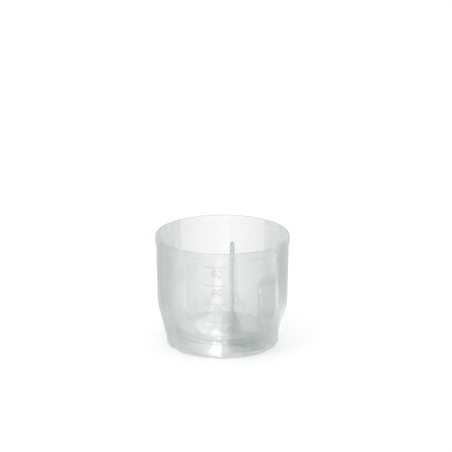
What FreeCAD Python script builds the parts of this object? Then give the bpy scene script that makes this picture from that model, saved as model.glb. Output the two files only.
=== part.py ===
import FreeCAD, Part
import os
import Sketcher

# Fuel sampler cup: a clear moulded tumbler on a sixteen-sided foot, with a
# separate floor, a push-in drain pin beside its middle and a spring clip on
# its side. Millimetres, +Z up. The origin is the middle of the face that the
# cup stands on, and the cup's front is -Y. An angle round the cup is counted
# from the front towards +X.

DIMENSIONS = {
    # tumbler
    "cup_height": 50.0, "rim_radius": 30.0, "lip_height": 4.0, "lip_proud": 0.35,
    "lip_edge_fillet": 0.5, "wall": 1.4,
    "shoulder_height": 18.8, "shoulder_radius": 29.1,
    "foot_radius": 25.2, "foot_height": 2.0, "facet_top": 14.0, "recess_radius": 21.3,
    "bowl_height": 11.4, "bowl_radius": 25.0, "bowl_fillet": 6.0,
    # floor and the ledge under it
    "floor_top": 7.3, "floor_radius": 20.2, "floor_thick": 1.4, "weld_gap": 0.05,
    "ledge_thick": 1.2, "ledge_radius": 19.0,
    # drain pin and what holds it
    "pin_radius": 1.0, "pin_x": 4.3, "pin_y": -10.6, "pin_top": 49.8, "pin_bottom": 1.55,
    "root_radius": 1.2, "root_bevel": 0.2, "flange_radius": 1.7, "flange_bottom": 15.4, "flange_top": 16.1,
    "pin_tip_height": 1.6, "pin_tip_radius": 0.5, "pin_clearance": 0.05,
    "collar_radius": 2.6, "collar_neck": 1.8, "collar_height": 2.8, "collar_foot": 0.5,
    "seal_core": 1.7, "seal_section": 0.45, "seal_chamber": 2.2,
    "gusset_height": 7.5, "gusset_reach": 4.6, "gusset_thick": 1.2, "gusset_gap": 0.2,
    "socket_radius": 2.2, "socket_length": 9.0, "socket_width": 6.7, "socket_x": 11.0,
    "socket_y": -8.9, "socket_turn": 48.0, "socket_bottom": 0.6, "socket_bore_bottom": 1.5,
    "floor_hole": 1.4,
    # spring clip
    "clip_angle": 41.5, "clip_sweep": 19.0, "clip_bottom": 13.0, "clip_top": 37.5,
    "pad_gap": 0.03, "pad_thick": 0.5, "bridge_bottom": 34.4, "bridge_proud": 2.0,
    "clip_corner": 2.4,
    "axis_proud": 1.15, "axis_height": 34.6, "bead_radius": 0.45, "bead_clearance": 0.05,
    "bead_end_gap": 0.2, "tongue_width": 7.4, "tongue_gap": 1.05, "tongue_thick": 0.7, "tongue_top": 34.1,
    "tongue_bottom": 14.5, "nib_height": 16.6, "nib_reach": 0.25, "neck_half": 0.28,
    "tongue_corner": 2.2,
    # graduations
    "mark_angle": -6.6, "mark_sweep": 19.0, "mark_proud": 0.25, "mark_tall": 0.5,
    # length of a cut that has to go right through any piece
    "through": 90.0,
}
MARK_HEIGHTS = {20: 18.0, 40: 26.6, 60: 35.2, 80: 43.8}
FACETS = 16

doc = FreeCAD.newDocument("fuel_sampler_cup")


def add_sheet():
    """The driving dimensions, one aliased cell each."""
    sheet = doc.addObject("Spreadsheet::Sheet", "dims")
    for row, (name, value) in enumerate(DIMENSIONS.items(), start=1):
        sheet.set(f"A{row}", name)
        sheet.set(f"B{row}", str(value))
        sheet.setAlias(f"B{row}", name)
    doc.recompute()
    return sheet


SHEET = add_sheet()


def amount(expression):
    """The number that an expression of sheet cells gives."""
    value = SHEET.evalExpression(expression)
    return float(getattr(value, "Value", value))


def sized(text):
    """An expression in which each dimension's name reads its cell."""
    for name in sorted(DIMENSIONS, key=len, reverse=True):
        text = text.replace(f"<{name}>", f"dims.{name}")
    return text


def wall_radius(height):
    """Outer radius of the straight wall at a height, as an expression."""
    slope = ("(<rim_radius> - <lip_proud> - <shoulder_radius>)"
             " / (<cup_height> - <lip_height> - <shoulder_height>)")
    return f"<shoulder_radius> + ({height} - <shoulder_height>) * {slope}"


def cone_radius(height):
    """Outer radius of the lower cone at a height, as an expression."""
    slope = "(<shoulder_radius> - <foot_radius>) / (<shoulder_height> - <foot_height>)"
    return f"<foot_radius> + ({height} - <foot_height>) * {slope}"


def body_named(label):
    body = doc.addObject("PartDesign::Body", label)
    body.Label = label
    return body


def plane(body, role):
    return next(item for item in body.Origin.OriginFeatures if item.Role == role)


def attach(body, sketch, role="XZ_Plane", turn=0.0):
    """Put a sketch on a body's origin plane, turned about the plane's own upright."""
    sketch.AttachmentSupport = [(plane(body, role), "")]
    sketch.MapMode = "FlatFace"
    upright = FreeCAD.Vector(0, 1, 0)
    sketch.AttachmentOffset = FreeCAD.Placement(
        FreeCAD.Vector(0, 0, 0), FreeCAD.Rotation(upright, turn))


def place_point(sketch, edge, end, across, up):
    """Tie one end of an edge to two expressions, or to an axis where one is 0."""
    for kind, axis, text in (("DistanceX", -2, across), ("DistanceY", -1, up)):
        if text == "0":
            sketch.addConstraint(Sketcher.Constraint("PointOnObject", edge, end, axis))
            continue
        value = amount(sized(text))
        index = sketch.addConstraint(Sketcher.Constraint(kind, edge, end, value))
        sketch.setExpression(f"Constraints[{index}]", sized(text))


def outline(body, name, points, role="XZ_Plane", turn=0.0):
    """A closed sketch of straight edges through points given as pairs of expressions."""
    sketch = body.newObject("Sketcher::SketchObject", name)
    attach(body, sketch, role, turn)
    spots = [FreeCAD.Vector(amount(sized(across)), amount(sized(up)), 0) for across, up in points]
    for start, finish in zip(spots, spots[1:] + spots[:1]):
        sketch.addGeometry(Part.LineSegment(start, finish), False)
    for edge in range(len(points)):
        following = (edge + 1) % len(points)
        sketch.addConstraint(Sketcher.Constraint("Coincident", edge, 2, following, 1))
    for edge, (across, up) in enumerate(points):
        place_point(sketch, edge, 1, across, up)
    return sketch


def disc_outline(body, name, across, up, radius, role="XZ_Plane", turn=0.0):
    """A sketch of one circle."""
    sketch = body.newObject("Sketcher::SketchObject", name)
    attach(body, sketch, role, turn)
    centre = FreeCAD.Vector(amount(sized(across)), amount(sized(up)), 0)
    upward = FreeCAD.Vector(0, 0, 1)
    sketch.addGeometry(Part.Circle(centre, upward, amount(sized(radius))), False)
    place_point(sketch, 0, 3, across, up)
    index = sketch.addConstraint(Sketcher.Constraint("Radius", 0, amount(sized(radius))))
    sketch.setExpression(f"Constraints[{index}]", sized(radius))
    return sketch


def revolve(body, name, sketch, sweep=None):
    """Turn a sketch about its upright, all the way or over half a sweep each way."""
    feature = body.newObject("PartDesign::Revolution", name)
    feature.Profile = sketch
    feature.ReferenceAxis = (sketch, ["V_Axis"])
    if sweep is None:
        feature.Angle = 360.0
    else:
        feature.Midplane = True
        feature.setExpression("Angle", sized(sweep))
    return feature


def pad(body, name, sketch, width):
    """Extrude a sketch half its width to each side."""
    feature = body.newObject("PartDesign::Pad", name)
    feature.Profile = sketch
    feature.Midplane = True
    feature.setExpression("Length", sized(width))
    return feature


def pocket(body, name, sketch, width):
    """Cut with a sketch half its width to each side."""
    feature = body.newObject("PartDesign::Pocket", name)
    feature.Profile = sketch
    feature.Midplane = True
    feature.setExpression("Length", sized(width))
    return feature


def round_edges(body, name, places, radius):
    """Fillet the circular edges that lie at the given radii and heights."""
    doc.recompute()
    base = body.Tip
    names = []
    for wanted_radius, wanted_height in places:
        for index, edge in enumerate(base.Shape.Edges, start=1):
            curve = edge.Curve
            if not isinstance(curve, Part.Circle):
                continue
            off_radius = abs(curve.Radius - amount(sized(wanted_radius)))
            off_height = abs(curve.Center.z - amount(sized(wanted_height)))
            if off_radius < 0.01 and off_height < 0.01:
                names.append(f"Edge{index}")
    if len(names) < len(places):
        raise RuntimeError(f"{name}: an edge to round is missing")
    feature = body.newObject("PartDesign::Fillet", name)
    feature.Base = (base, names)
    feature.setExpression("Radius", sized(radius))
    return feature


def cup_section():
    """Half section of the tumbler: foot, cone, wall, lip, inside, ledge, recess."""
    ledge_top = "<floor_top> - <floor_thick>"
    ledge_bottom = "<floor_top> - <floor_thick> - <ledge_thick>"
    return [
        ("<recess_radius>", "0"),
        ("<foot_radius>", "0"),
        ("<foot_radius>", "<foot_height>"),
        ("<shoulder_radius>", "<shoulder_height>"),
        ("<rim_radius> - <lip_proud>", "<cup_height> - <lip_height>"),
        ("<rim_radius>", "<cup_height> - <lip_height> + <lip_proud>"),
        ("<rim_radius>", "<cup_height>"),
        ("<rim_radius> - <wall>", "<cup_height>"),
        ("<shoulder_radius> - <wall>", "<shoulder_height>"),
        ("<bowl_radius>", "<bowl_height>"),
        ("<floor_radius>", "<floor_top>"),
        ("<floor_radius>", ledge_top),
        ("<ledge_radius>", ledge_top),
        ("<ledge_radius>", ledge_bottom),
        ("<recess_radius>", ledge_bottom),
    ]


def cut_facets(body):
    """Leaning flats all round the foot, which die out in the cone above it."""
    apothem = f"<foot_radius> * cos({180.0 / FACETS} deg)"
    reach = "<rim_radius> + <wall>"
    points = [
        (apothem, "0"),
        (reach, "0"),
        (reach, "<facet_top>"),
        (cone_radius("<facet_top>"), "<facet_top>"),
        (apothem, "<foot_height>"),
    ]
    sketch = outline(body, "facet_outline", points, turn=180.0 / FACETS)
    cut = pocket(body, "facet", sketch, "<foot_radius>")
    doc.recompute()
    pattern = body.newObject("PartDesign::PolarPattern", "facets")
    pattern.Originals = [cut]
    pattern.Axis = (next(i for i in body.Origin.OriginFeatures if i.Role == "Z_Axis"), [""])
    pattern.Angle = 360.0
    pattern.Occurrences = FACETS
    body.Tip = pattern


def add_graduations(body):
    """Raised level lines on the front of the wall."""
    for volume, height in MARK_HEIGHTS.items():
        low = f"{height} - <mark_tall> / 2"
        high = f"{height} + <mark_tall> / 2"
        inside = f"{wall_radius(str(height))} - <wall> / 2"
        outside = f"{wall_radius(str(height))} + <mark_proud>"
        points = [(inside, low), (outside, low), (outside, high), (inside, high)]
        turn = amount("dims.mark_angle") - 90.0
        sketch = outline(body, f"mark_{volume}_outline", points, turn=turn)
        revolve(body, f"mark_{volume}", sketch, "<mark_sweep>")


def make_cup_body():
    body = body_named("cup_body")
    revolve(body, "tumbler", outline(body, "tumbler_section", cup_section()))
    round_edges(body, "bowl_round", [("<bowl_radius>", "<bowl_height>")], "<bowl_fillet>")
    rim_edges = [("<rim_radius>", "<cup_height>"), ("<rim_radius> - <wall>", "<cup_height>")]
    round_edges(body, "rim_round", rim_edges, "<lip_edge_fillet>")
    cut_facets(body)
    add_graduations(body)
    return body


def make_floor_disc():
    """Flat disc on the ledge, with a hole for the drain pin."""
    body = body_named("floor_disc")
    radius = "<floor_radius> - <weld_gap>"
    bottom = "<floor_top> - <floor_thick>"
    points = [("0", bottom), (radius, bottom), (radius, "<floor_top>"), ("0", "<floor_top>")]
    revolve(body, "disc", outline(body, "disc_section", points))
    hole = disc_outline(body, "hole_outline", "<pin_x>", "<pin_y>", "<floor_hole>", role="XY_Plane")
    pocket(body, "pin_hole", hole, "<through>")
    return body


def stand_at_pin(part):
    """Place a part, modelled round its own axis, on the pin's axis."""
    part.setExpression("Placement.Base.x", "dims.pin_x")
    part.setExpression("Placement.Base.y", "dims.pin_y")
    return part


def make_drain_pin():
    """Round pin: a bevelled root, a thin flange, the slimmer rod and a blunt cone for its tip."""
    body = body_named("drain_pin")
    points = [
        ("0", "<pin_bottom>"),
        ("<root_radius> - <root_bevel>", "<pin_bottom>"),
        ("<root_radius>", "<pin_bottom> + <root_bevel>"),
        ("<root_radius>", "<flange_bottom>"),
        ("<flange_radius>", "<flange_bottom>"),
        ("<flange_radius>", "<flange_top>"),
        ("<pin_radius>", "<flange_top>"),
        ("<pin_radius>", "<pin_top> - <pin_tip_height>"),
        ("<pin_tip_radius>", "<pin_top>"),
        ("0", "<pin_top>"),
    ]
    revolve(body, "rod", outline(body, "rod_section", points))
    return stand_at_pin(body)


def make_pin_collar():
    """Flared collar on the floor round the pin, with a chamber for the seal and a gusset."""
    body = body_named("pin_collar")
    bore = "<root_radius> + <pin_clearance>"
    chamber_top = "<floor_top> + 2 * <seal_section> + <weld_gap>"
    top = "<floor_top> + <collar_height>"
    points = [
        ("<seal_chamber>", "<floor_top>"),
        ("<collar_radius>", "<floor_top>"),
        ("<collar_radius>", "<floor_top> + <collar_foot>"),
        ("<collar_neck>", top),
        (bore, top),
        (bore, chamber_top),
        ("<seal_chamber>", chamber_top),
    ]
    revolve(body, "collar", outline(body, "collar_section", points))
    inner = "<root_radius> + <gusset_gap>"
    web = [
        ("<seal_chamber> + <gusset_gap>", "<floor_top>"),
        ("<gusset_reach>", "<floor_top>"),
        ("<collar_neck>", "<floor_top> + <gusset_height>"),
        (inner, "<floor_top> + <gusset_height>"),
        (inner, "<floor_top> + <collar_height> - <gusset_thick>"),
        ("<seal_chamber> + <gusset_gap>", "<floor_top> + <gusset_thick>"),
    ]
    pad(body, "gusset", outline(body, "gusset_outline", web), "<gusset_thick>")
    return stand_at_pin(body)


def make_pin_seal():
    """Rubber ring in the collar's chamber."""
    ring = doc.addObject("Part::Torus", "pin_seal")
    ring.Label = "pin_seal"
    ring.setExpression("Radius1", "dims.seal_core")
    ring.setExpression("Radius2", "dims.seal_section")
    ring.setExpression("Placement.Base.z", "dims.floor_top + dims.seal_section")
    return stand_at_pin(ring)


def make_pin_socket():
    """Round boss under the floor for the pin's root, stiffened by a square-edged block."""
    height = "dims.floor_top - dims.floor_thick - dims.socket_bottom"
    block = doc.addObject("Part::Box", "socket_block")
    upward = FreeCAD.Vector(0, 0, 1)
    swing = FreeCAD.Rotation(upward, amount("dims.socket_turn"))
    to_corner = FreeCAD.Vector(-amount("dims.socket_length") / 2, -amount("dims.socket_width") / 2, 0)
    middle = FreeCAD.Vector(amount("dims.socket_x"), amount("dims.socket_y"), amount("dims.socket_bottom"))
    block.Placement = FreeCAD.Placement(middle + swing.multVec(to_corner), swing)
    block.setExpression("Length", "dims.socket_length")
    block.setExpression("Width", "dims.socket_width")
    block.setExpression("Height", height)
    boss = doc.addObject("Part::Cylinder", "socket_boss")
    boss.setExpression("Radius", "dims.socket_radius")
    boss.setExpression("Height", height)
    boss.setExpression("Placement.Base.z", "dims.socket_bottom")
    bore = doc.addObject("Part::Cylinder", "socket_bore")
    bore.setExpression("Radius", "dims.root_radius + dims.pin_clearance")
    bore.setExpression("Height", "dims.floor_top")
    bore.setExpression("Placement.Base.z", "dims.socket_bore_bottom")
    joined = doc.addObject("Part::Fuse", "socket_joined")
    joined.Base = block
    joined.Tool = stand_at_pin(boss)
    socket = doc.addObject("Part::Cut", "pin_socket")
    socket.Label = "pin_socket"
    socket.Base = joined
    socket.Tool = stand_at_pin(bore)
    return socket


def turn_to_clip(part):
    """Swing a part that is modelled at the cup's front round to the clip's place."""
    upward = FreeCAD.Vector(0, 0, 1)
    part.Placement = FreeCAD.Placement(FreeCAD.Vector(), FreeCAD.Rotation(upward, amount("dims.clip_angle")))
    return part


def corner_cuts(body, name, half_width, bottom, top, corner):
    """Cut the four corners of a plate that faces the front, at 45 degrees."""
    for word, level, inner in (("low", bottom, f"{bottom} + {corner}"), ("high", top, f"{top} - {corner}")):
        for side, sign in (("left", "-1"), ("right", "1")):
            points = [
                (f"{sign} * ({half_width} - {corner})", level),
                (f"{sign} * ({half_width})", inner),
                (f"{sign} * ({half_width} + {corner})", inner),
                (f"{sign} * ({half_width} + {corner})", level),
            ]
            sketch = outline(body, f"{name}_{word}_{side}_outline", points)
            pocket(body, f"{name}_{word}_{side}", sketch, "<through>")


def make_clip_saddle():
    """Pad that follows the wall and the cone, with a bridge at its top for the tongue."""
    body = body_named("clip_saddle")
    high_wall = wall_radius("<clip_top>")
    bridge_wall = wall_radius("<bridge_bottom>")
    low_cone = cone_radius("<clip_bottom>")
    points = [
        (f"{low_cone} + <pad_gap>", "<clip_bottom>"),
        (f"{low_cone} + <pad_thick>", "<clip_bottom>"),
        ("<shoulder_radius> + <pad_thick>", "<shoulder_height>"),
        (f"{bridge_wall} + <pad_thick>", "<bridge_bottom>"),
        (f"{bridge_wall} + <bridge_proud>", "<bridge_bottom>"),
        (f"{high_wall} + <bridge_proud>", "<clip_top>"),
        (f"{high_wall} + <pad_gap>", "<clip_top>"),
        ("<shoulder_radius> + <pad_gap>", "<shoulder_height>"),
    ]
    revolve(body, "pad_and_bridge", outline(body, "saddle_section", points, turn=-90.0), "<clip_sweep>")
    axis_radius = wall_radius("<axis_height>") + " + <axis_proud>"
    bore = disc_outline(body, "bead_bore_outline", axis_radius, "<axis_height>",
                        "<bead_radius> + <bead_clearance>", turn=-90.0)
    pocket(body, "bead_bore", bore, "<tongue_width> + 2 * <bead_end_gap>")
    half_width = "<rim_radius> * sin(<clip_sweep> * 0.5 deg)"
    corner_cuts(body, "saddle_corner", half_width, "<clip_bottom>", "<clip_top>", "<clip_corner>")
    return turn_to_clip(body)


def make_clip_tongue():
    """Flat sprung tongue: a bead in the bridge, a plate that bends with the wall, a nib."""
    body = body_named("clip_tongue")
    axis_radius = wall_radius("<axis_height>") + " + <axis_proud>"
    top_wall = wall_radius("<tongue_top>")
    low_cone = cone_radius("<tongue_bottom>")
    nib_cone = cone_radius("<nib_height>")
    outer = "<tongue_gap> + <tongue_thick>"
    points = [
        (f"{axis_radius} - <neck_half>", "<axis_height>"),
        (f"{axis_radius} - <neck_half>", "<tongue_top> - <neck_half>"),
        (f"{top_wall} + <tongue_gap>", "<tongue_top> - 2 * <neck_half>"),
        ("<shoulder_radius> + <tongue_gap>", "<shoulder_height>"),
        (f"{nib_cone} + <tongue_gap> - <nib_reach>", "<nib_height>"),
        (f"{low_cone} + <tongue_gap>", "<tongue_bottom>"),
        (f"{low_cone} + {outer}", "<tongue_bottom>"),
        (f"<shoulder_radius> + {outer}", "<shoulder_height>"),
        (f"{top_wall} + {outer}", "<tongue_top>"),
        (f"{axis_radius} + <neck_half>", "<tongue_top>"),
        (f"{axis_radius} + <neck_half>", "<axis_height>"),
    ]
    pad(body, "plate", outline(body, "plate_section", points, turn=-90.0), "<tongue_width>")
    bead = disc_outline(body, "bead_outline", axis_radius, "<axis_height>", "<bead_radius>", turn=-90.0)
    pad(body, "bead", bead, "<tongue_width>")
    for side, sign in (("left", "-1"), ("right", "1")):
        corner = [
            (f"{sign} * (<tongue_width> / 2 - <tongue_corner>)", "<tongue_bottom>"),
            (f"{sign} * <tongue_width> / 2", "<tongue_bottom> + <tongue_corner>"),
            (f"{sign} * <tongue_width>", "<tongue_bottom> + <tongue_corner>"),
            (f"{sign} * <tongue_width>", "<tongue_bottom>"),
        ]
        sketch = outline(body, f"tongue_corner_{side}_outline", corner)
        pocket(body, f"tongue_corner_{side}", sketch, "<through>")
    return turn_to_clip(body)


def check_document():
    """Stop if any feature failed."""
    for item in doc.Objects:
        if "Invalid" in item.State or "Error" in item.State:
            raise RuntimeError(f"{item.Name} failed: {item.State}")


def write_steps(parts):
    os.makedirs("parts", exist_ok=True)
    for part in parts:
        shape = part.Shape
        if shape.isNull() or not shape.isValid():
            raise RuntimeError(f"{part.Label} has no valid shape")
        shape.exportStep(f"parts/{part.Label}.step")
        box = shape.BoundBox
        print(f"{part.Label}: {len(shape.Solids)} solid, {shape.Volume:.1f} mm3,"
              f" x {box.XMin:.2f} to {box.XMax:.2f}, y {box.YMin:.2f} to {box.YMax:.2f},"
              f" z {box.ZMin:.2f} to {box.ZMax:.2f}")


sub_parts = [
    make_cup_body(),
    make_floor_disc(),
    make_drain_pin(),
    make_pin_collar(),
    make_pin_seal(),
    make_pin_socket(),
    make_clip_saddle(),
    make_clip_tongue(),
]
doc.recompute()
check_document()
write_steps(sub_parts)
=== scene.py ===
"""The looks of a fuel sampler cup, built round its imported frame.

Lengths in the classes are millimetres, and metres() turns them into Blender's
units. The cup stands on z = 0 round the z axis, and its front is -Y. An angle
round the cup is counted from the front towards +X.
"""
import logging
from dataclasses import dataclass, field
from enum import Enum
from math import cos, pi, radians, sin, tau

import bpy
import numpy as np
from mathutils import Matrix, Vector


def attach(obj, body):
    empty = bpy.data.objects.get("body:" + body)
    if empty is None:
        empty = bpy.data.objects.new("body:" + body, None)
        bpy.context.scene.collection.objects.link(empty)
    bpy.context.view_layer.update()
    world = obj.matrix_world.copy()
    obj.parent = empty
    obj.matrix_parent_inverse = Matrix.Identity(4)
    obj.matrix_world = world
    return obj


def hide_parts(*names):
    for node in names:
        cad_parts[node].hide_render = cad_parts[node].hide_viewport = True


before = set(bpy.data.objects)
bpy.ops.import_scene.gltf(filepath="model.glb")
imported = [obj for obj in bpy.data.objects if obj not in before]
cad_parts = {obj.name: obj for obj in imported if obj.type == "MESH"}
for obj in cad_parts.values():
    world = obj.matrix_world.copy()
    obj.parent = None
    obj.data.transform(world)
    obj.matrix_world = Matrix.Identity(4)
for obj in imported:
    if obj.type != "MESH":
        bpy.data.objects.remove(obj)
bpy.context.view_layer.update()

LOG = logging.getLogger("sampler_cup")
MILLIMETRE = 0.001
CUP_BODY = "cup"
PIN_BODY = "pin"
TONGUE_BODY = "tongue"


def metres(values: np.ndarray) -> np.ndarray:
    """Millimetres as metres."""
    return np.asarray(values, dtype=float) * MILLIMETRE


# ---------------------------------------------------------------- surfaces


def rounded_path(corners: list[tuple[float, float, float]], closed: bool,
                 pitch: float = 1.0, arc_steps: int = 5) -> np.ndarray:
    """A path of straight runs whose corners are circular arcs.

    Each corner is cut back by radius * tan(turn / 2) along both runs, and the
    arc between the two tangent points is drawn round its centre. Each straight
    run is divided into steps no longer than pitch.

    Args:
        corners: (across, up, radius) of each corner, in order.
        closed: whether the last corner joins the first.
        pitch: the longest step on a straight run.
        arc_steps: how many steps an arc has.

    Returns:
        The points of the path, one (across, up) pair a row.
    """
    spots = np.array([(x, y) for x, y, _ in corners])
    count = len(spots)
    pieces = []
    for index, (x, y, radius) in enumerate(corners):
        here = np.array((x, y))
        if not closed and index in (0, count - 1):
            pieces.append(here[None, :])
            continue
        back = spots[index - 1] - here
        ahead = spots[(index + 1) % count] - here
        back_length, ahead_length = np.linalg.norm(back), np.linalg.norm(ahead)
        back, ahead = back / back_length, ahead / ahead_length
        half = np.arccos(np.clip(back @ ahead, -1.0, 1.0)) / 2
        cut = min(radius / np.tan(half), 0.49 * back_length, 0.49 * ahead_length)
        true_radius = cut * np.tan(half)
        middle = here + (back + ahead) / np.linalg.norm(back + ahead) * true_radius / np.sin(half)
        start, finish = here + back * cut - middle, here + ahead * cut - middle
        first = np.arctan2(start[1], start[0])
        turn = np.arctan2(finish[1], finish[0]) - first
        turn = (turn + np.pi) % (2 * np.pi) - np.pi
        angles = first + turn * np.linspace(0.0, 1.0, arc_steps + 1)
        pieces.append(middle + true_radius * np.stack((np.cos(angles), np.sin(angles)), axis=1))
    path = [pieces[0]]
    followers = pieces[1:] + ([pieces[0][:1]] if closed else [])
    for piece in followers:
        start, finish = path[-1][-1], piece[0]
        steps = max(2, int(np.ceil(np.linalg.norm(finish - start) / pitch)))
        path.append(start + (finish - start) * np.linspace(0.0, 1.0, steps + 1)[1:-1, None])
        path.append(piece)
    points = np.concatenate(path)
    return points[:-1] if closed else points


def grid_faces(rows: int, columns: int, wrap_rows: bool) -> np.ndarray:
    """Quads of a grid whose columns go all the way round.

    Args:
        rows: how many rings of points there are.
        columns: how many points a ring has.
        wrap_rows: whether the last ring joins the first.

    Returns:
        One row of four point numbers a quad.
    """
    lower = np.arange(rows if wrap_rows else rows - 1)[:, None]
    across = np.arange(columns)[None, :]
    upper = (lower + 1) % rows
    beside = (across + 1) % columns
    corners = (lower * columns + across, lower * columns + beside,
               upper * columns + beside, upper * columns + across)
    return np.stack(corners, axis=-1).reshape(-1, 4)


def shell_mesh(name: str, rings: np.ndarray, wrap_rows: bool) -> bpy.types.Mesh:
    """A closed mesh over rings of points, in millimetres.

    Where the rings don't close on themselves, the first and the last ring are
    each closed with a fan round their middle. Faces are turned outwards by the
    sign of the enclosed volume.

    Args:
        name: the mesh's name.
        rings: points shaped (rows, columns, 3).
        wrap_rows: whether the last ring joins the first.

    Returns:
        The mesh, smooth shaded.
    """
    rows, columns, _ = rings.shape
    points = rings.reshape(-1, 3)
    quads = grid_faces(rows, columns, wrap_rows)
    faces = quads.tolist()
    if not wrap_rows:
        points = np.vstack((points, rings[0].mean(axis=0), rings[-1].mean(axis=0)))
        around = np.arange(columns)
        beside = (around + 1) % columns
        first_hub, last_hub = rows * columns, rows * columns + 1
        last = (rows - 1) * columns
        faces += np.stack((beside, around, np.full(columns, first_hub)), axis=1).tolist()
        faces += np.stack((last + around, last + beside, np.full(columns, last_hub)), axis=1).tolist()
    a, b, c, d = (points[quads[:, k]] for k in range(4))
    volume = np.einsum("ij,ij->", a, np.cross(b, c)) + np.einsum("ij,ij->", a, np.cross(c, d))
    if volume < 0:
        faces = [face[::-1] for face in faces]
    mesh = bpy.data.meshes.new(name)
    mesh.from_pydata(metres(points).tolist(), [], faces)
    mesh.shade_smooth()
    mesh.update()
    return mesh


def spin(path: np.ndarray, columns: int) -> np.ndarray:
    """Rings from a path turned about the z axis: (r sin a, -r cos a, z).

    Args:
        path: (distance out, height) pairs.
        columns: how many points a ring has.

    Returns:
        Points shaped (rows, columns, 3).
    """
    angle = np.arange(columns) * tau / columns
    radius, height = path[:, 0][:, None], path[:, 1][:, None]
    return np.stack((radius * np.sin(angle), -radius * np.cos(angle),
                     np.broadcast_to(height, (len(path), columns))), axis=-1)


def soft_min(first: np.ndarray, second: np.ndarray, softness: float) -> np.ndarray:
    """The smaller of two values, rounded over where they are within softness."""
    gap = np.clip((softness - np.abs(first - second)) / softness, 0.0, None)
    return np.minimum(first, second) - gap * gap * softness / 4


def add_piece(name: str, mesh: bpy.types.Mesh, material: bpy.types.Material, body: str,
              slot: str, *nodes: str) -> None:
    """Put a mesh in the scene as a piece that rides on a body.

    Args:
        name: the piece's name.
        mesh: its mesh, in the cup's frame.
        material: its finish.
        body: the body that it moves with.
        slot: the record's material slot for the piece; not used.
        nodes: CAD nodes that it stands for.
    """
    piece = bpy.data.objects.new(name, mesh)
    bpy.context.scene.collection.objects.link(piece)
    mesh.materials.append(material)
    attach(piece, body)
    if nodes:
        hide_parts(*nodes)
    LOG.info("%s: %d faces on body %s", name, len(mesh.polygons), body)


# ---------------------------------------------------------------- finishes


class Graph:
    """The node tree of a new material, with short calls that add and join nodes."""

    def __init__(self, name: str) -> None:
        """Start a material that has one Principled shader."""
        self.material = bpy.data.materials.new(name)
        self.material.use_nodes = True
        self.nodes = self.material.node_tree.nodes
        self.links = self.material.node_tree.links
        self.shader = self.nodes["Principled BSDF"]
        self.end = self.nodes["Material Output"]
        self.place = self.nodes.new("ShaderNodeTexCoord").outputs["Object"]

    def put(self, socket: bpy.types.NodeSocket, value: object) -> None:
        """Join an output to an input, or set the input to a plain value.

        Args:
            socket: the input.
            value: an output to join to it, or its value.
        """
        if isinstance(value, bpy.types.NodeSocket):
            self.links.new(value, socket)
        else:
            socket.default_value = value

    def add(self, kind: str, **settings: object) -> bpy.types.Node:
        """A new node whose inputs are set or joined by name.

        Args:
            kind: the node's type.
            settings: each input's name, with _ for a space, and what it gets.

        Returns:
            The node.
        """
        node = self.nodes.new(kind)
        for name, value in settings.items():
            self.put(node.inputs[name.replace("_", " ")], value)
        return node

    def noise(self, scale: float, detail: float, stretch: tuple[float, float, float] = (1.0, 1.0, 1.0),
              turn: float = 0.0) -> bpy.types.NodeSocket:
        """Noise on the piece's own coordinates, drawn out along an axis and turned.

        Args:
            scale: how many swells a metre has.
            detail: how many finer layers lie on it.
            stretch: the scale along each axis beside the first.
            turn: degrees that the pattern leans, about the y axis.

        Returns:
            The noise's value, about 0.3 to 0.7.
        """
        mapping = self.add("ShaderNodeMapping", Vector=self.place, Scale=stretch,
                           Rotation=(0.0, radians(turn), 0.0))
        texture = self.add("ShaderNodeTexNoise", Vector=mapping.outputs["Vector"], Scale=scale,
                           Detail=detail)
        return texture.outputs["Fac"]

    def ramp(self, value: bpy.types.NodeSocket, start: float, finish: float, low: float,
             high: float) -> bpy.types.NodeSocket:
        """Carry a value from start..finish to low..high, held at both ends.

        Args:
            value: what is carried.
            start: the value that becomes low.
            finish: the value that becomes high.
            low: the result at start.
            high: the result at finish.

        Returns:
            The carried value.
        """
        node = self.add("ShaderNodeMapRange", Value=value, From_Min=start, From_Max=finish,
                        To_Min=low, To_Max=high)
        return node.outputs["Result"]

    def maths(self, operation: str, first: object, second: object) -> bpy.types.NodeSocket:
        """One sum of two numbers or sockets.

        Args:
            operation: which sum, by Blender's name.
            first: its first term.
            second: its second term.

        Returns:
            The sum's value.
        """
        node = self.nodes.new("ShaderNodeMath")
        node.operation = operation
        self.put(node.inputs[0], first)
        self.put(node.inputs[1], second)
        return node.outputs["Value"]

    def hairlines(self, scale: float, stretch: tuple[float, float, float], turn: float,
                  width: float) -> bpy.types.NodeSocket:
        """Fine scratches: 1 where a drawn-out noise is within width of its middle, fading to 0.

        Args:
            scale: how many swells of the noise a metre has.
            stretch: the scale along each axis beside the first.
            turn: degrees that the scratches lean.
            width: how far from its middle the noise still counts.

        Returns:
            How much of a scratch there is, 0 to 1.
        """
        swell = self.noise(scale, 2.0, stretch, turn)
        away = self.maths("ABSOLUTE", self.maths("SUBTRACT", swell, 0.5), 0.0)
        return self.ramp(away, 0.0, width, 1.0, 0.0)

    def blend(self, share: object, first: bpy.types.NodeSocket,
              second: bpy.types.NodeSocket) -> bpy.types.NodeSocket:
        """Mix two shaders.

        Args:
            share: how much of the second shows.
            first: the shader at share 0.
            second: the shader at share 1.

        Returns:
            The mixed shader.
        """
        node = self.nodes.new("ShaderNodeMixShader")
        self.put(node.inputs["Fac"], share)
        self.links.new(first, node.inputs[1])
        self.links.new(second, node.inputs[2])
        return node.outputs["Shader"]


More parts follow.
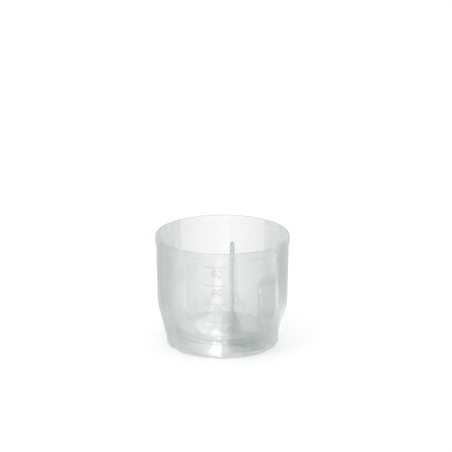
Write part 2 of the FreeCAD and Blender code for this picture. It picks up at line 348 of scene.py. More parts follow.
@dataclass(frozen=True)
class ClearMoulding:
    """Clear injection-moulded plastic, gently rippled, scuffed and hazed by use.

    The surface mixes bent light (a Principled glass), light that passes
    straight through, as thin clear stock looks, and a milky veil that scatters
    light both ways. The veil grows where the surface turns away from the eye,
    as the way through the hazed stock is longer there, and along the scuffs.
    """

    name: str
    tint: tuple[float, float, float] = (0.965, 0.969, 0.965)
    index: float = 1.49
    polish: float = 0.015
    haze: float = 0.06
    ripple: float = 0.03
    straight: float = 0.65
    veil: float = 0.02
    edge_veil: float = 0.52
    edge_power: float = 0.7
    veil_colour: tuple[float, float, float] = (0.62, 0.65, 0.635)
    scuffs: float = 0.12
    depth_colour: tuple[float, float, float] = (0.8, 0.86, 0.84)
    depth: float = 0.0
    cloud_scale: float = 90.0
    cloud_detail: float = 4.0
    swell_scale: float = 45.0
    wear_scale: float = 35.0
    wear_range: tuple[float, float] = (0.48, 0.68)
    scuff_haze: float = 0.08
    scuff_bite: float = 0.05

    def scuffed(self, graph: Graph) -> bpy.types.NodeSocket:
        """Two sets of hairlines that cross, kept only in the worn patches, 0 to 1."""
        lying = graph.hairlines(60.0, (1.0, 1.0, 5.0), 12.0, 0.006)
        standing = graph.hairlines(45.0, (4.0, 4.0, 1.0), -20.0, 0.005)
        worn = graph.ramp(graph.noise(self.wear_scale, 3.0), *self.wear_range, 0.0, 1.0)
        return graph.maths("MULTIPLY", graph.maths("MAXIMUM", lying, standing), worn)

    def material(self) -> bpy.types.Material:
        """Build the node tree: bent and straight light, under a veil that grows at the edges."""
        graph = Graph(self.name)
        cloud = graph.noise(self.cloud_scale, self.cloud_detail)
        scuff = self.scuffed(graph)
        shader = graph.shader
        graph.put(shader.inputs["Base Color"], (*self.tint, 1.0))
        graph.put(shader.inputs["Transmission Weight"], 1.0)
        graph.put(shader.inputs["IOR"], self.index)
        rough = graph.ramp(cloud, 0.45, 0.8, self.polish, self.polish + self.haze)
        rough = graph.maths("ADD", rough, graph.maths("MULTIPLY", scuff, self.scuff_haze))
        graph.put(shader.inputs["Roughness"], rough)
        swell = graph.add("ShaderNodeBump", Height=graph.noise(self.swell_scale, 1.0),
                          Strength=self.ripple, Distance=0.001)
        bump = graph.add("ShaderNodeBump", Height=scuff, Strength=self.scuff_bite, Distance=-0.0001,
                         Normal=swell.outputs["Normal"])
        graph.put(shader.inputs["Normal"], bump.outputs["Normal"])
        facing = graph.add("ShaderNodeLayerWeight", Blend=0.5).outputs["Facing"]
        edge = graph.maths("POWER", facing, self.edge_power)
        share = graph.ramp(edge, 0.0, 1.0, self.veil, self.edge_veil)
        share = graph.maths("ADD", share, graph.ramp(cloud, 0.4, 0.8, 0.0, self.veil / 2))
        share = graph.maths("ADD", share, graph.maths("MULTIPLY", scuff, self.scuffs))
        milk = graph.add("ShaderNodeBsdfTranslucent", Color=(*self.veil_colour, 1.0))
        dull = graph.add("ShaderNodeBsdfDiffuse", Color=(*self.veil_colour, 1.0))
        veil = graph.blend(0.5, milk.outputs["BSDF"], dull.outputs["BSDF"])
        through = graph.add("ShaderNodeBsdfTransparent", Color=(*self.tint, 1.0))
        clear = graph.blend(self.straight, shader.outputs["BSDF"], through.outputs["BSDF"])
        graph.put(graph.end.inputs["Surface"], graph.blend(share, clear, veil))
        if self.depth:
            volume = graph.add("ShaderNodeVolumeAbsorption", Color=(*self.depth_colour, 1.0),
                               Density=self.depth)
            graph.put(graph.end.inputs["Volume"], volume.outputs["Volume"])
        return graph.material


@dataclass(frozen=True)
class SealRubber:
    """Matt black nitrile with a fine mould grain."""

    name: str = "seal_rubber"
    colour: tuple[float, float, float] = (0.03, 0.03, 0.032)

    def material(self) -> bpy.types.Material:
        """Build the node tree: a fine noise drives a small bump and the roughness."""
        graph = Graph(self.name)
        grain = graph.noise(4000.0, 3.0)
        graph.put(graph.shader.inputs["Base Color"], (*self.colour, 1.0))
        graph.put(graph.shader.inputs["Roughness"], graph.ramp(grain, 0.3, 0.7, 0.5, 0.75))
        bump = graph.add("ShaderNodeBump", Height=grain, Strength=0.2, Distance=0.0002)
        graph.put(graph.shader.inputs["Normal"], bump.outputs["Normal"])
        return graph.material


@dataclass(frozen=True)
class BondLine:
    """A bonded joint in clear stock, whose trapped air mirrors the light."""

    name: str = "bond_line"
    colour: tuple[float, float, float] = (0.97, 0.98, 0.97)

    def material(self) -> bpy.types.Material:
        """Build the node tree: a mirror that a coarse noise breaks up with duller stretches."""
        graph = Graph(self.name)
        broken = graph.noise(300.0, 3.0)
        graph.put(graph.shader.inputs["Base Color"], (*self.colour, 1.0))
        graph.put(graph.shader.inputs["Metallic"], 1.0)
        graph.put(graph.shader.inputs["Roughness"], graph.ramp(broken, 0.4, 0.65, 0.15, 0.5))
        bump = graph.add("ShaderNodeBump", Height=broken, Strength=0.3, Distance=0.0002)
        graph.put(graph.shader.inputs["Normal"], bump.outputs["Normal"])
        return graph.material


# ---------------------------------------------------------------- tumbler


@dataclass
class Tumbler:
    """The clear cup: lip, wall, cone and sixteen-sided foot, open at the top."""

    rim_radius: float = 30.0
    height: float = 50.0
    lip_height: float = 4.0
    lip_proud: float = 0.35
    wall: float = 1.4
    shoulder_radius: float = 29.1
    shoulder_height: float = 18.8
    shoulder_round: float = 30.0
    foot_radius: float = 25.2
    foot_height: float = 2.0
    facets: int = 16
    facet_top: float = 14.0
    facet_softness: float = 0.25
    recess_radius: float = 21.3
    bowl_radius: float = 25.0
    bowl_height: float = 11.4
    floor_radius: float = 20.2
    floor_top: float = 7.3
    floor_thick: float = 1.4
    ledge_radius: float = 19.0
    ledge_thick: float = 1.2
    columns: int = 288

    def wall_radius(self, height: np.ndarray) -> np.ndarray:
        """Outer radius at a height: foot, cone and wall are straight lines."""
        heights = (0.0, self.foot_height, self.shoulder_height, self.height - self.lip_height)
        radii = (self.foot_radius, self.foot_radius, self.shoulder_radius, self.rim_radius - self.lip_proud)
        return np.interp(height, heights, radii)

    def section(self) -> np.ndarray:
        """The half section, from the recess round the outside and back down the inside."""
        lip_bottom = self.height - self.lip_height
        ledge_top = self.floor_top - self.floor_thick
        ledge_bottom = ledge_top - self.ledge_thick
        corners = [
            (self.recess_radius, 0.0, 0.3),
            (self.foot_radius, 0.0, 0.4),
            (self.foot_radius, self.foot_height, 2.0),
            (self.shoulder_radius, self.shoulder_height, self.shoulder_round),
            (self.rim_radius - self.lip_proud, lip_bottom, 0.25),
            (self.rim_radius, lip_bottom + self.lip_proud, 0.25),
            (self.rim_radius, self.height, 0.5),
            (self.rim_radius - self.wall, self.height, 0.5),
            (self.shoulder_radius - self.wall, self.shoulder_height, self.shoulder_round),
            (self.bowl_radius, self.bowl_height, 6.0),
            (self.floor_radius, self.floor_top, 0.1),
            (self.floor_radius, ledge_top, 0.08),
            (self.ledge_radius, ledge_top, 0.1),
            (self.ledge_radius, ledge_bottom, 0.15),
            (self.recess_radius, ledge_bottom, 0.4),
        ]
        return rounded_path(corners, closed=True)

    def facet_radius(self, angle: np.ndarray, height: np.ndarray) -> np.ndarray:
        """How far out the flats reach: apothem / cos(angle from the flat's middle).

        Args:
            angle: where round the cup, in radians.
            height: how high; above the flats the reach runs away, so they cut nothing.

        Returns:
            The distance out.
        """
        step = tau / self.facets
        flat = self.foot_radius * cos(step / 2)
        top = float(self.wall_radius(self.facet_top))
        apothem = np.interp(height, (self.foot_height, self.facet_top), (flat, top))
        apothem = apothem + np.clip(height - self.facet_top, 0.0, None) * 2
        return apothem / np.cos(angle % step - step / 2)

    def mesh(self) -> bpy.types.Mesh:
        """Turn the section, then draw its outer part in to the flats.

        A point between the recess and the outer wall keeps its share of the way,
        so the foot's lower face stays even where the flats narrow it.
        """
        path = self.section()
        rings = spin(path, self.columns)
        angle = (np.arange(self.columns) * tau / self.columns)[None, :]
        radius, height = path[:, 0][:, None], path[:, 1][:, None]
        outer = self.wall_radius(height)
        faceted = soft_min(outer + 0.0 * angle, self.facet_radius(angle, height), self.facet_softness)
        share = (faceted - self.recess_radius) / (outer - self.recess_radius)
        outside = (radius > self.recess_radius) & (radius > self.inner_radius(height) + 0.01)
        drawn = np.where(outside, self.recess_radius + (radius - self.recess_radius) * share, radius)
        scale = drawn / radius
        rings[..., 0] *= scale
        rings[..., 1] *= scale
        return shell_mesh("cup_wall", rings, wrap_rows=True)

    def inner_radius(self, height: np.ndarray) -> np.ndarray:
        """Inner radius at a height; under the floor it is the recess."""
        heights = (self.floor_top - 0.01, self.floor_top, self.bowl_height, self.shoulder_height,
                   self.height)
        radii = (self.recess_radius, self.bowl_radius - 1.0, self.bowl_radius,
                 self.shoulder_radius - self.wall, self.rim_radius - self.wall)
        return np.interp(height, heights, radii)

    def dress(self, finish: bpy.types.Material) -> None:
        """Add the tumbler in place of its CAD node."""
        add_piece("cup_wall", self.mesh(), finish, CUP_BODY, "clear_cup", "cup_body")


@dataclass
class Floor:
    """The separate floor disc with its hole for the pin."""

    cup: Tumbler
    pin_x: float
    pin_y: float
    hole: float = 1.4
    gap: float = 0.05
    edge: float = 0.15
    bond_ring: float = 18.8
    bond_section: float = 0.3
    columns: int = 192

    def mesh(self) -> bpy.types.Mesh:
        """A flat ring between the pin's hole and the disc's edge.

        The rings slide from the hole's middle to the disc's middle as they
        grow, so that the hole sits off the middle and no ring crosses another.
        """
        top = self.cup.floor_top
        bottom = top - self.cup.floor_thick
        reach = self.cup.floor_radius - self.gap
        corners = [(self.hole, bottom, 0.05), (reach, bottom, self.edge),
                   (reach, top, self.edge), (self.hole, top, 0.05)]
        path = rounded_path(corners, closed=True, pitch=0.7)
        rings = spin(path, self.columns)
        share = ((reach - path[:, 0]) / (reach - self.hole))[:, None]
        rings[..., 0] += share * self.pin_x
        rings[..., 1] += share * self.pin_y
        return shell_mesh("cup_floor", rings, wrap_rows=True)

    def bond_mesh(self) -> bpy.types.Mesh:
        """The bright bead of the joint: a small circle carried round a large one."""
        turn = np.arange(12) * tau / 12
        path = np.stack((self.bond_ring + self.bond_section * np.cos(turn),
                         self.cup.floor_top + self.bond_section * np.sin(turn)), axis=1)
        return shell_mesh("floor_bond", spin(path, self.columns), wrap_rows=True)

    def dress(self, finish: bpy.types.Material, bond: bpy.types.Material) -> None:
        """Add the floor in place of its CAD node, and the bead round it."""
        add_piece("cup_floor", self.mesh(), finish, CUP_BODY, "clear_floor", "floor_disc")
        add_piece("floor_bond", self.bond_mesh(), bond, CUP_BODY, "clear_floor")


# ---------------------------------------------------------------- drain pin


@dataclass
class DrainPin:
    """The upright pin, with its collar, gusset, seal and socket block."""

    x: float = 4.3
    y: float = -10.6
    radius: float = 1.0
    top: float = 49.8
    bottom: float = 1.55
    root_radius: float = 1.2
    bevel: float = 0.2
    flange_radius: float = 1.7
    flange_bottom: float = 15.4
    flange_top: float = 16.1
    tip_height: float = 1.6
    tip_radius: float = 0.5
    clearance: float = 0.05
    floor_top: float = 7.3
    floor_bottom: float = 5.9
    collar_radius: float = 2.6
    collar_neck: float = 1.8
    collar_height: float = 2.8
    collar_foot: float = 0.5
    seal_core: float = 1.7
    seal_section: float = 0.45
    chamber: float = 2.2
    gusset_height: float = 7.5
    gusset_reach: float = 4.6
    gusset_thick: float = 1.2
    gusset_gap: float = 0.2
    boss_radius: float = 2.2
    socket_length: float = 9.0
    socket_width: float = 6.7
    socket_x: float = 11.0
    socket_y: float = -8.9
    socket_turn: float = 48.0
    socket_bottom: float = 0.6
    bore_bottom: float = 1.5
    block_bevel: float = 0.3
    block_power: float = 16.0

    def at_pin(self, rings: np.ndarray) -> np.ndarray:
        """Move rings made round the z axis to the pin's axis."""
        return rings + np.array((self.x, self.y, 0.0))

    def rod_mesh(self) -> bpy.types.Mesh:
        """A turned rod with a bevelled root, a thin flange and a blunt, rounded tip."""
        corners = [
            (0.02, self.bottom, 0.0),
            (self.root_radius, self.bottom, self.bevel),
            (self.root_radius, self.flange_bottom, 0.1),
            (self.flange_radius, self.flange_bottom, 0.15),
            (self.flange_radius, self.flange_top, 0.15),
            (self.radius, self.flange_top, 0.25),
            (self.radius, self.top - self.tip_height, 2.5),
            (self.tip_radius, self.top, 0.3),
            (0.02, self.top, 0.0),
        ]
        path = rounded_path(corners, closed=False, pitch=0.8)
        return shell_mesh("pin_rod", self.at_pin(spin(path, 48)), wrap_rows=False)

    def collar_mesh(self) -> bpy.types.Mesh:
        """A turned, flared collar with the bore and the seal's chamber inside."""
        bore = self.root_radius + self.clearance
        chamber_top = self.floor_top + 2 * self.seal_section + self.clearance
        top = self.floor_top + self.collar_height
        corners = [
            (self.chamber, self.floor_top, 0.05),
            (self.collar_radius, self.floor_top, 0.05),
            (self.collar_radius, self.floor_top + self.collar_foot, 0.3),
            (self.collar_neck, top, 0.2),
            (bore, top, 0.1),
            (bore, chamber_top, 0.05),
            (self.chamber, chamber_top, 0.1),
        ]
        path = rounded_path(corners, closed=True, pitch=0.6, arc_steps=4)
        return shell_mesh("pin_collar", self.at_pin(spin(path, 64)), wrap_rows=True)

    def gusset_mesh(self) -> bpy.types.Mesh:
        """A thin web: a rounded outline carried across its thickness."""
        inner = self.root_radius + self.gusset_gap
        low, high = self.floor_top, self.floor_top + self.gusset_height
        corners = [
            (self.chamber + self.gusset_gap, low, 0.05),
            (self.gusset_reach, low, 0.1),
            (self.collar_neck, high, 0.3),
            (inner, high, 0.2),
            (inner, low + self.collar_height - self.gusset_thick, 0.3),
            (self.chamber + self.gusset_gap, low + self.gusset_thick, 0.2),
        ]
        outline = rounded_path(corners, closed=True, pitch=0.5, arc_steps=4)
        middle = outline.mean(axis=0)
        half = self.gusset_thick / 2
        levels = np.array([(-half, 0.88), (-half, 0.96), (-half * 0.85, 1.0),
                           (half * 0.85, 1.0), (half, 0.96), (half, 0.88)])
        spread = middle + (outline - middle) * levels[:, 1][:, None, None]
        across = np.broadcast_to(levels[:, 0][:, None], spread.shape[:2])
        rings = np.stack((spread[..., 0], across, spread[..., 1]), axis=-1)
        return shell_mesh("pin_gusset", self.at_pin(rings), wrap_rows=False)

    def seal_mesh(self) -> bpy.types.Mesh:
        """A round ring: a small circle carried round a large one."""
        turn = np.arange(24) * tau / 24
        path = np.stack((self.seal_core + self.seal_section * np.cos(turn),
                         self.floor_top + self.seal_section * (1 + np.sin(turn))), axis=1)
        return shell_mesh("pin_seal", self.at_pin(spin(path, 64)), wrap_rows=True)

    def boss_mesh(self) -> bpy.types.Mesh:
        """A turned boss under the floor, with the blind bore for the pin's root."""
        bore = self.root_radius + self.clearance
        corners = [
            (0.02, self.socket_bottom, 0.0),
            (self.boss_radius, self.socket_bottom, 0.3),
            (self.boss_radius, self.floor_bottom, 0.1),
            (bore, self.floor_bottom, 0.1),
            (bore, self.bore_bottom, 0.15),
            (0.02, self.bore_bottom, 0.0),
        ]
        path = rounded_path(corners, closed=False, pitch=0.6, arc_steps=4)
        return shell_mesh("pin_socket_boss", self.at_pin(spin(path, 64)), wrap_rows=False)

    def block_mesh(self) -> bpy.types.Mesh:
        """The square-edged block beside the boss.

        Each ring's distance from its middle is half / (|cos|^p + |sin|^p)^(1/p),
        which is nearly a square for a large p; it is then drawn out to the
        block's length and turned.
        """
        half = self.socket_width / 2
        low, high, bevel, power = self.socket_bottom, self.floor_bottom, self.block_bevel, self.block_power
        rows = [(0.02, low), (half * 0.6, low), (half - bevel, low), (half, low + bevel),
                (half, (low + high) / 2), (half, high - bevel), (half - bevel, high),
                (half * 0.6, high), (0.02, high)]
        size, height = (np.array(column)[:, None] for column in zip(*rows))
        angle = (np.arange(96) * tau / 96)[None, :]
        reach = size / (np.abs(np.cos(angle)) ** power + np.abs(np.sin(angle)) ** power) ** (1 / power)
        along = reach * np.cos(angle) * self.socket_length / self.socket_width
        beside = reach * np.sin(angle)
        turn = radians(self.socket_turn)
        rings = np.stack((self.socket_x + along * cos(turn) - beside * sin(turn),
                          self.socket_y + along * sin(turn) + beside * cos(turn),
                          height + 0.0 * angle), axis=-1)
        return shell_mesh("pin_socket_block", rings, wrap_rows=False)

    def dress(self, rod: bpy.types.Material, root: bpy.types.Material, boss: bpy.types.Material,
              block: bpy.types.Material, rubber: bpy.types.Material) -> None:
        """Add the pin, its root pieces and its seal.

        Args:
            rod: the pin's finish.
            root: the collar's and the gusset's.
            boss: the boss's.
            block: the block's.
            rubber: the seal's.
        """
        add_piece("pin_rod", self.rod_mesh(), rod, PIN_BODY, "smoke_pin", "drain_pin")
        add_piece("pin_collar_ring", self.collar_mesh(), root, CUP_BODY, "grey_socket", "pin_collar")
        add_piece("pin_collar_gusset", self.gusset_mesh(), root, CUP_BODY, "grey_socket")
        add_piece("pin_seal_ring", self.seal_mesh(), rubber, CUP_BODY, "seal_rubber", "pin_seal")
        add_piece("pin_socket_boss", self.boss_mesh(), boss, CUP_BODY, "grey_socket", "pin_socket")
        add_piece("pin_socket_block", self.block_mesh(), block, CUP_BODY, "grey_socket")


# ---------------------------------------------------------------- spring clip


@dataclass
class SpringClip:
    """The clip on the cup's side: a bonded saddle with a bridge, and a sprung tongue."""

    cup: Tumbler
    angle: float = 41.5
    sweep: float = 19.0
    bottom: float = 13.0
    top: float = 37.5
    corner: float = 2.4
    pad_gap: float = 0.03
    pad_thick: float = 0.5
    bridge_bottom: float = 34.4
    bridge_proud: float = 2.0
    axis_proud: float = 1.15
    axis_height: float = 34.6
    bead_radius: float = 0.45
    tongue_width: float = 7.4
    tongue_gap: float = 1.05
    tongue_thick: float = 0.7
    tongue_top: float = 34.1
    tongue_bottom: float = 14.5
    tongue_corner: float = 2.2
    nib_height: float = 16.6
    nib_reach: float = 0.25
    neck_half: float = 0.28

    def placed(self, rings: np.ndarray) -> np.ndarray:
        """Turn rings made at the cup's front round to the clip's place.

        Args:
            rings: the points, which are changed.

        Returns:
            The same points, turned.
        """
        turn = radians(self.angle)
        x, y = rings[..., 0].copy(), rings[..., 1].copy()
        rings[..., 0] = x * cos(turn) - y * sin(turn)
        rings[..., 1] = x * sin(turn) + y * cos(turn)
        return rings

    def slab(self, section: np.ndarray, half_width: np.ndarray, bevel: float,
             curved: bool) -> np.ndarray:
        """A section carried across a width, with bevelled ends.

        Ring k lies across * half_width(height) from the middle. A curved slab
        follows the cup's wall, so across becomes an angle; a flat one doesn't.

        Args:
            section: (distance out, height) pairs round the section.
            half_width: half the slab's width at each of those points.
            bevel: how much the section draws in at its two ends.
            curved: whether the slab follows the wall.

        Returns:
            Rings of points, not yet turned to the clip's place.
        """
        share = np.array((-1.0, -1.0, -0.97, 0.97, 1.0, 1.0))[:, None]
        inset = np.array((2 * bevel, bevel, 0.0, 0.0, bevel, 2 * bevel))[:, None]
        middle = section.mean(axis=0)
        away = section - middle
        length = np.linalg.norm(away, axis=1)[None, :]
        factor = 1 - np.minimum(inset / length, 0.5)
        out = middle[0] + away[:, 0][None, :] * factor
        height = middle[1] + away[:, 1][None, :] * factor
        across = share * half_width[None, :]
        if curved:
            turn = across / self.cup.shoulder_radius
            return np.stack((out * np.sin(turn), -out * np.cos(turn), height), axis=-1)
        return np.stack((across + 0.0 * out, -out, height), axis=-1)

    def cut_width(self, height: np.ndarray, half: float, low: float, high: float,
                  corner: float) -> np.ndarray:
        """Half width at a height: full, less 45 degree corners at both ends.

        Args:
            height: where on the plate.
            half: the full half width.
            low: the plate's lower end.
            high: its upper end.
            corner: how far the corners are cut back.

        Returns:
            The half width there.
        """
        room = np.minimum(height - low, high - height)
        return half - corner + np.clip(room, 0.0, corner)

    def saddle_mesh(self) -> bpy.types.Mesh:
        """The pad follows the wall and the cone, and thickens into the bridge."""
        wall = self.cup.wall_radius
        corners = [
            (float(wall(self.bottom)) + self.pad_gap, self.bottom, 0.05),
            (float(wall(self.bottom)) + self.pad_thick, self.bottom, 0.15),
            (self.cup.shoulder_radius + self.pad_thick, self.cup.shoulder_height, 8.0),
            (float(wall(self.bridge_bottom)) + self.pad_thick, self.bridge_bottom, 0.15),
            (float(wall(self.bridge_bottom)) + self.bridge_proud, self.bridge_bottom, 0.2),
            (float(wall(self.top)) + self.bridge_proud, self.top, 0.35),
            (float(wall(self.top)) + self.pad_gap, self.top, 0.05),
            (self.cup.shoulder_radius + self.pad_gap, self.cup.shoulder_height, 8.0),
        ]
        section = rounded_path(corners, closed=True, pitch=0.6, arc_steps=4)
        half = self.cup.rim_radius * sin(radians(self.sweep / 2))
        width = self.cut_width(section[:, 1], half, self.bottom, self.top, self.corner)
        return shell_mesh("clip_pad", self.placed(self.slab(section, width, 0.08, True)), False)

    def tongue_mesh(self) -> bpy.types.Mesh:
        """The plate that bends with the wall, with a nib near its free end."""
        wall = self.cup.wall_radius
        axis = float(wall(self.axis_height)) + self.axis_proud
        outer = self.tongue_gap + self.tongue_thick
        top_wall, low_wall = float(wall(self.tongue_top)), float(wall(self.tongue_bottom))
        corners = [
            (axis - self.neck_half, self.axis_height, 0.05),
            (axis - self.neck_half, self.tongue_top - self.neck_half, 0.2),
            (top_wall + self.tongue_gap, self.tongue_top - 2 * self.neck_half, 0.2),
            (self.cup.shoulder_radius + self.tongue_gap, self.cup.shoulder_height, 6.0),
            (float(wall(self.nib_height)) + self.tongue_gap - self.nib_reach, self.nib_height, 0.8),
            (low_wall + self.tongue_gap, self.tongue_bottom, 0.2),
            (low_wall + outer, self.tongue_bottom, 0.25),
            (self.cup.shoulder_radius + outer, self.cup.shoulder_height, 8.0),
            (top_wall + outer, self.tongue_top, 0.2),
            (axis + self.neck_half, self.tongue_top, 0.1),
            (axis + self.neck_half, self.axis_height, 0.05),
        ]
        section = rounded_path(corners, closed=True, pitch=0.6, arc_steps=4)
        width = self.cut_width(section[:, 1], self.tongue_width / 2, self.tongue_bottom,
                               self.axis_height + self.cup.height, self.tongue_corner)
        return shell_mesh("clip_plate", self.placed(self.slab(section, width, 0.06, False)), False)

    def bead_mesh(self) -> bpy.types.Mesh:
        """The round bead that the tongue hangs from, lying across the clip."""
        axis = float(self.cup.wall_radius(self.axis_height)) + self.axis_proud
        half = self.tongue_width / 2
        path = rounded_path([(0.02, -half, 0.0), (self.bead_radius, -half, 0.15),
                             (self.bead_radius, half, 0.15), (0.02, half, 0.0)], closed=False)
        upright = spin(path, 32)
        rings = np.stack((upright[..., 2], upright[..., 1] - axis, upright[..., 0] + self.axis_height),
                         axis=-1)
        return shell_mesh("clip_bead", self.placed(rings), False)

    def dress(self, finish: bpy.types.Material) -> None:
        """Add the saddle on the cup, and the tongue with its bead on its own body."""
        add_piece("clip_pad", self.saddle_mesh(), finish, CUP_BODY, "clear_clip", "clip_saddle")
        add_piece("clip_plate", self.tongue_mesh(), finish, TONGUE_BODY, "clear_clip", "clip_tongue")
        add_piece("clip_bead", self.bead_mesh(), finish, TONGUE_BODY, "clear_clip")


# ---------------------------------------------------------------- graduations


@dataclass
class Graduations:
    """Raised level lines with a number under each, on the front of the wall."""

    cup: Tumbler
    angle: float = -6.6
    sweep: float = 19.0
    proud: float = 0.25
    sunk: float = 0.15
    tall: float = 0.5
    levels: dict[int, float] = field(default_factory=lambda: {20: 18.0, 40: 26.6, 60: 35.2, 80: 43.8})
    digit_height: float = 3.6
    digit_drop: float = 4.6
    digit_shift: float = 1.0
    digit_share: float = 0.73

    def on_wall(self, across: np.ndarray, height: np.ndarray, proud: np.ndarray) -> np.ndarray:
        """A place on the wall.

        Args:
            across: how far to the right of the column's middle, along the wall.
            height: how high.
            proud: how far out of the wall.

        Returns:
            The points.
        """
        radius = self.cup.wall_radius(height) + proud
        turn = radians(self.angle) + across / self.cup.shoulder_radius
        return np.stack((radius * np.sin(turn), -radius * np.cos(turn), height + 0.0 * across), axis=-1)

    def line_mesh(self, name: str, level: float) -> bpy.types.Mesh:
        """A low bar, round in section, carried round the wall.

        Args:
            name: the mesh's name.
            level: how high it lies.

        Returns:
            The closed bar, whose two ends draw in.
        """
        half = radians(self.sweep / 2) * self.cup.shoulder_radius
        across = np.linspace(-half, half, 40)[:, None]
        turn = (np.arange(16) * tau / 16)[None, :]
        fade = np.sqrt(np.clip(1 - (across / half) ** 40, 0.02, 1.0))
        height = level + self.tall / 2 * np.sin(turn) * fade
        lift = (self.proud + self.sunk) / 2
        proud = (self.proud - self.sunk) / 2 + lift * np.cos(turn) * fade
        return shell_mesh(name, self.on_wall(across + 0.0 * turn, height, proud), False)

    def number_mesh(self, number: int, level: float) -> bpy.types.Mesh:
        """The number as a raised shape wrapped on the wall.

        Args:
            number: what it says.
            level: the line that it stands under.

        Returns:
            The wrapped digits.
        """
        curve = bpy.data.curves.new(f"digits_{number}", "FONT")
        curve.body = str(number)
        curve.align_x = "CENTER"
        curve.size = 1.0
        curve.extrude = 0.5
        curve.resolution_u = 4
        holder = bpy.data.objects.new(f"digits_{number}", curve)
        bpy.context.scene.collection.objects.link(holder)
        bpy.context.view_layer.update()
        mesh = bpy.data.meshes.new_from_object(holder.evaluated_get(bpy.context.evaluated_depsgraph_get()))
        bpy.data.objects.remove(holder)
        count = len(mesh.vertices)
        flat = np.empty(count * 3)
        mesh.vertices.foreach_get("co", flat)
        flat = flat.reshape(-1, 3)
        size = self.digit_height / self.digit_share
        depth = self.proud + self.sunk
        proud = self.proud - depth / 2 + flat[:, 2] * depth
        places = self.on_wall(flat[:, 0] * size + self.digit_shift,
                              level - self.digit_drop + flat[:, 1] * size, proud)
        mesh.vertices.foreach_set("co", metres(places).ravel())
        mesh.update()
        mesh.name = f"number_{number}"
        return mesh

    def dress(self, finish: bpy.types.Material) -> None:
        """Add each line and its number."""
        for number, level in self.levels.items():
            line = self.line_mesh(f"level_line_{number}", level)
            add_piece(f"level_line_{number}", line, finish, CUP_BODY, "clear_cup")
            digits = self.number_mesh(number, level)
            add_piece(f"level_number_{number}", digits, finish, CUP_BODY, "clear_cup")


# ---------------------------------------------------------------- studio


class Side(Enum):
    """A side of the cup, as seen from its front."""

    LEFT = -1.0
    RIGHT = 1.0


@dataclass(frozen=True)
class Lamp:
    """A rectangular light, seen only in gloss, never through the cup.

    Its radiance is its brightness beside the surround's, which is 1.
    """

    name: str
    place: tuple[float, float, float]
    toward: tuple[float, float, float]
    size: tuple[float, float]
    radiance: float

    def light(self) -> None:
        """Hang it; its power is radiance * pi * area."""
        data = bpy.data.lights.new(self.name, "AREA")
        data.shape = "RECTANGLE"
        data.size, data.size_y = self.size
        data.energy = self.radiance * pi * self.size[0] * self.size[1]
        lamp = bpy.data.objects.new(self.name, data)
        bpy.context.scene.collection.objects.link(lamp)
        lamp.visible_camera = lamp.visible_transmission = False
        lamp.location = self.place
        facing = Vector(self.toward) - Vector(self.place)
        lamp.rotation_euler = facing.to_track_quat("-Z", "Y").to_euler()


def floor_strip(name: str, x: float, y: float, lift: float, size: tuple[float, float],
                radiance: float) -> Lamp:
    """A lamp that lies just over the floor and faces straight up."""
    return Lamp(name, (x, y, lift), (x, y, 1.0), size, radiance)


OVERHEAD = Lamp("overhead", (0.0, 0.2, 1.2), (0.0, 0.0, 0.0), (1.2, 1.2), 0.25)
SPARKLE = Lamp("sparkle", (-0.3, -0.3, 0.9), (0.0, 0.0, 0.03), (0.12, 0.12), 20.0)
FRONT_STRIP = floor_strip("front_strip", -0.014, -0.1, 0.0005, (0.026, 0.13), 6.0)
FOOT_GLOW = floor_strip("foot_glow", -0.004, -0.0295, 0.0004, (0.006, 0.007), 14.0)
SIDE_STRIP = floor_strip("side_strip", 0.0886, 0.0156, 0.0005, (0.13, 0.02), 3.0)


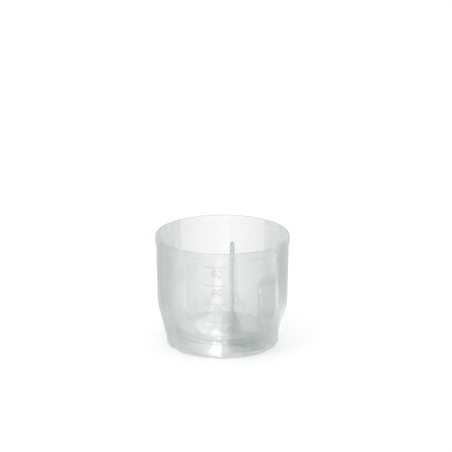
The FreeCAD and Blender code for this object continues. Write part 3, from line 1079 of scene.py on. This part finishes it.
@dataclass
class Studio:
    """Pale floor, soft light and the camera."""

    azimuth: float = 0.0
    elevation: float = 17.3
    lens: float = 200.0
    sensor: float = 36.0
    frame_width: float = 202.7
    aim_right: float = 1.57
    aim_up: float = 27.4
    middle_height: float = 25.0
    floor_size: float = 6.0
    floor_shade: float = 0.62
    floor_glow: float = 0.36
    matt: float = 0.9
    world_strength: float = 1.0
    walls_crossed: int = 32
    card_near: float = 0.065
    card_far: float = 0.2
    card_front: float = 0.0
    card_back: float = 0.12
    card_lift: float = 0.0003
    card_colour: tuple[float, float, float] = (0.25, 0.25, 0.25)

    def camera(self) -> None:
        """A long lens that looks down at the cup, aimed above its middle."""
        turn, tilt = radians(self.azimuth), radians(self.elevation)
        toward = np.array((sin(turn) * cos(tilt), -cos(turn) * cos(tilt), sin(tilt)))
        right = np.array((cos(turn), sin(turn), 0.0))
        up = np.cross(toward, right)
        distance = self.frame_width * self.lens / self.sensor
        aim = np.array((0.0, 0.0, self.middle_height)) + right * self.aim_right + up * self.aim_up
        data = bpy.data.cameras.new("camera")
        data.lens, data.sensor_width = self.lens, self.sensor
        data.clip_start, data.clip_end = 0.01, 50.0
        camera = bpy.data.objects.new("camera", data)
        bpy.context.scene.collection.objects.link(camera)
        axes = Matrix((right, up, toward)).transposed().to_4x4()
        camera.matrix_world = Matrix.Translation(Vector(metres(aim + toward * distance))) @ axes
        bpy.context.scene.camera = camera

    def floor(self) -> None:
        """A plain pale sheet under the cup, lit evenly from within as a light table is."""
        half = self.floor_size / 2
        mesh = bpy.data.meshes.new("studio_floor")
        corners = [(-half, -half, 0.0), (half, -half, 0.0), (half, half, 0.0), (-half, half, 0.0)]
        mesh.from_pydata(corners, [], [(0, 1, 2, 3)])
        material = bpy.data.materials.new("studio_floor")
        material.use_nodes = True
        shader = material.node_tree.nodes["Principled BSDF"]
        shader.inputs["Base Color"].default_value = (*(self.floor_shade,) * 3, 1.0)
        shader.inputs["Emission Color"].default_value = (1.0, 1.0, 1.0, 1.0)
        shader.inputs["Emission Strength"].default_value = self.floor_glow
        shader.inputs["Roughness"].default_value = self.matt
        shader.inputs["Specular IOR Level"].default_value = 0.1
        mesh.materials.append(material)
        floor = bpy.data.objects.new("studio_floor", mesh)
        bpy.context.scene.collection.objects.link(floor)

    def surround(self) -> None:
        """An even white surround."""
        world = bpy.data.worlds.new("studio")
        world.use_nodes = True
        background = world.node_tree.nodes["Background"]
        background.inputs["Color"].default_value = (1.0, 1.0, 1.0, 1.0)
        background.inputs["Strength"].default_value = self.world_strength
        bpy.context.scene.world = world

    def card(self, side: Side) -> None:
        """A dark card lying behind the cup on one side, seen only in its gloss and through its edges.

        Args:
            side: which side of the cup it lies on.
        """
        across = sorted((side.value * self.card_near, side.value * self.card_far))
        back, front = self.card_back, self.card_front
        corners = [(across[0], front), (across[1], front), (across[1], back), (across[0], back)]
        name = f"studio_card_{side.name.lower()}"
        mesh = bpy.data.meshes.new(name)
        mesh.from_pydata([(x, y, self.card_lift) for x, y in corners], [], [(0, 1, 2, 3)])
        material = bpy.data.materials.new(name)
        material.use_nodes = True
        shader = material.node_tree.nodes["Principled BSDF"]
        shader.inputs["Base Color"].default_value = (*self.card_colour, 1.0)
        shader.inputs["Roughness"].default_value = self.matt
        mesh.materials.append(material)
        card = bpy.data.objects.new(name, mesh)
        bpy.context.scene.collection.objects.link(card)
        card.visible_camera = card.visible_diffuse = card.visible_shadow = False

    def light_paths(self) -> None:
        """Let light pass through every wall of the cup and the clip, which are many."""
        paths = bpy.context.scene.cycles
        paths.transparent_max_bounces = self.walls_crossed
        paths.transmission_bounces = self.walls_crossed
        paths.max_bounces = self.walls_crossed

    def build(self) -> None:
        """Everything round the cup."""
        bpy.context.scene.view_settings.view_transform = "Standard"
        self.light_paths()
        self.floor()
        self.surround()
        for lamp in (OVERHEAD, SPARKLE, FRONT_STRIP, FOOT_GLOW):
            lamp.light()
        for side in Side:
            self.card(side)
        SIDE_STRIP.light()
        self.camera()


def main() -> None:
    """Build the cup, piece by piece, and the studio round it."""
    logging.basicConfig(level=logging.INFO, format="%(name)s: %(message)s")
    clear = ClearMoulding("clear_cup", depth_colour=(0.8, 0.84, 0.82), depth=35.0).material()
    clear_floor = ClearMoulding("clear_floor", straight=0.7, veil=0.03, edge_veil=0.2).material()
    clear_clip = ClearMoulding("clear_clip", tint=(0.986, 0.989, 0.987), straight=0.93, veil=0.01,
                               edge_veil=0.4, edge_power=2.2).material()
    smoke = ClearMoulding("smoke_pin", straight=0.45, veil=0.25, depth=200.0).material()
    boss = ClearMoulding("socket_boss", tint=(0.985, 0.99, 0.986), straight=0.6, veil=0.05,
                         edge_veil=0.3).material()
    root = ClearMoulding("grey_collar", straight=0.5, veil=0.05, edge_veil=0.3,
                         depth_colour=(0.78, 0.8, 0.79), depth=1500.0).material()
    block = ClearMoulding("grey_socket", tint=(0.96, 0.975, 0.975), straight=0.5, veil=0.15, edge_veil=0.4,
                          depth_colour=(0.76, 0.86, 0.85), depth=260.0).material()
    rubber = SealRubber().material()
    cup = Tumbler()
    pin = DrainPin()
    cup.dress(clear)
    Floor(cup, pin.x, pin.y).dress(clear_floor, BondLine().material())
    pin.dress(smoke, root, boss, block, rubber)
    SpringClip(cup).dress(clear_clip)
    Graduations(cup).dress(clear)
    Studio().build()


if __name__ == "__main__":
    main()
